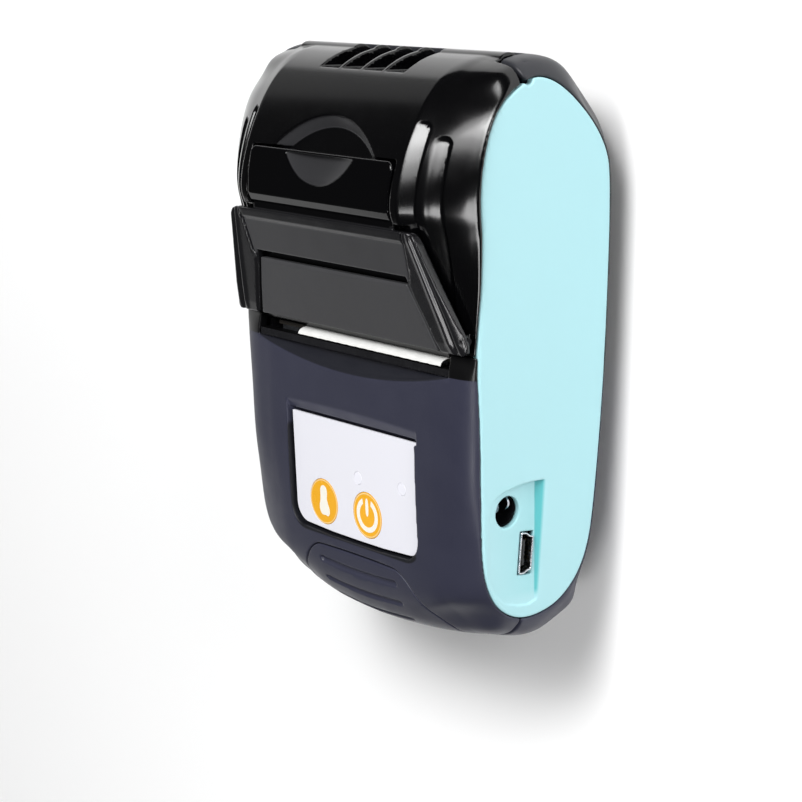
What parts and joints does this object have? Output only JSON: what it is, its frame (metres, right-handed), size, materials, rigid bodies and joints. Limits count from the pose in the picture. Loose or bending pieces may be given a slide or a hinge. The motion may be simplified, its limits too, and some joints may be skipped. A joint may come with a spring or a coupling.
{
  "type": "portable receipt printer",
  "caption": "Pocket receipt printer with a gloss lid over the paper roll, pull-up lid opener, satin case, coloured side panels, buttons, sockets and a sliding battery door.",
  "frame": {"origin": "centre of the box at the level of the flat back it lies on", "axes": "+Y towards the hinge end, +Z out of the front face, +X towards the side with the sockets"},
  "size_m": [0.0756, 0.1094, 0.047],
  "materials": {
    "case_navy": "satin moulded plastic, navy charcoal",
    "case_back": "satin moulded plastic, dark charcoal",
    "panel_aqua": "smooth satin plastic, pale aqua",
    "lid_gloss": "polished gloss black",
    "opener_gloss": "polished gloss black",
    "inset_grey": "fine matte texture, dark grey",
    "label_white": "smooth printed film",
    "amber": "smooth printed film, amber",
    "lens": "translucent milky lens",
    "black_plastic": "moulded",
    "natural_plastic": "natural acetal",
    "gear_plastic": "natural acetal",
    "platen_rubber": "ground rubber",
    "paper": "smooth thermal paper",
    "card": "spiral wound card",
    "steel": "ground",
    "sheet_steel": "zinc plated sheet",
    "tear_steel": "blackened sheet",
    "motor_can": "drawn can",
    "switch_metal": "tinned",
    "socket_metal": "nickel plated",
    "brass": "turned",
    "aluminium": "extruded",
    "ceramic": "glazed ceramic",
    "board_green": "solder mask",
    "battery_wrap": "shrink wrap"
  },
  "bodies": {
    "case": {"front_shell": "case_navy", "rear_shell": "case_back", "side_panel_right": "panel_aqua", "side_panel_left": "panel_aqua", "lid_hinge_pins": "steel", "gear_axles": "steel", "stepper_motor": "motor_can", "mechanism_frame": "sheet_steel", "print_head": "ceramic", "head_heatsink": "aluminium", "head_springs": "steel", "tear_bar": "tear_steel", "paper_web": "paper", "paper_sensor": "black_plastic", "main_board": "board_green", "board_parts": "black_plastic", "tact_switches": "switch_metal", "status_leds": "lens", "label_plate": "label_white", "led_lenses": "lens", "dc_jack": "black_plastic", "dc_jack_pin": "switch_metal", "usb_shell": "socket_metal", "usb_tongue": "black_plastic", "battery_pack": "battery_wrap", "battery_contacts": "brass", "case_screws": "steel"},
    "lid": {"paper_lid": "lid_gloss", "lid_inset_panel": "inset_grey", "opener_pins": "steel", "opener_spring": "steel", "platen_brackets": "black_plastic", "platen_bushes": "natural_plastic"},
    "opener": {"cover_opener": "opener_gloss"},
    "platen": {"platen_shaft": "steel", "platen_rubber": "platen_rubber", "platen_gear": "gear_plastic"},
    "idler": {"idler_gear": "gear_plastic"},
    "drive": {"drive_gear": "gear_plastic"},
    "pinion": {"motor_pinion": "brass"},
    "roll": {"paper_roll": "paper", "roll_core": "card"},
    "feed": {"feed_button": "amber"},
    "power": {"power_button": "amber"},
    "door": {"battery_door": "case_navy"}
  },
  "joints": [
    {"name": "lid_hinge", "type": "hinge", "parent": "case", "child": "lid", "pos_m": [0, 0.0521, 0.0265], "axis": [-1, 0, 0], "range_deg": [0, 95]},
    {"name": "opener_pull", "type": "hinge", "parent": "lid", "child": "opener", "pos_m": [0, 0.0051, 0.0395], "axis": [1, 0, 0], "range_deg": [0, 12], "stiffness_Nm_per_rad": 0.06, "springref_deg": -5.73},
    {"name": "platen_spin", "type": "hinge", "parent": "lid", "child": "platen", "pos_m": [0, 0.0053, 0.0338], "axis": [1, 0, 0], "continuous": true},
    {"name": "idler_spin", "type": "hinge", "parent": "case", "child": "idler", "pos_m": [-0.0324, 0.00205, 0.02487], "axis": [1, 0, 0], "continuous": true},
    {"name": "drive_spin", "type": "hinge", "parent": "case", "child": "drive", "pos_m": [-0.0324, -0.00658, 0.01515], "axis": [1, 0, 0], "continuous": true},
    {"name": "pinion_spin", "type": "hinge", "parent": "case", "child": "pinion", "pos_m": [-0.0324, -0.0111, 0.0235], "axis": [1, 0, 0], "continuous": true},
    {"name": "roll_spin", "type": "hinge", "parent": "case", "child": "roll", "pos_m": [0, 0.0279, 0.0226], "axis": [1, 0, 0], "continuous": true},
    {"name": "feed_press", "type": "slide", "parent": "case", "child": "feed", "axis": [0, 0.0532, -0.9986], "range_m": [0, 0.0004], "stiffness_N_per_m": 400, "springref_m": -0.0008},
    {"name": "power_press", "type": "slide", "parent": "case", "child": "power", "axis": [0, 0.0532, -0.9986], "range_m": [0, 0.0004], "stiffness_N_per_m": 400, "springref_m": -0.0008},
    {"name": "door_slide", "type": "slide", "parent": "case", "child": "door", "axis": [0, -1, 0], "range_m": [0, 0.03]}
  ],
  "couplings": [
    {"joint": "idler_spin", "follows": "platen_spin", "ratio": -0.58333},
    {"joint": "drive_spin", "follows": "platen_spin", "ratio": 0.5},
    {"joint": "pinion_spin", "follows": "platen_spin", "ratio": -1.4}
  ]
}
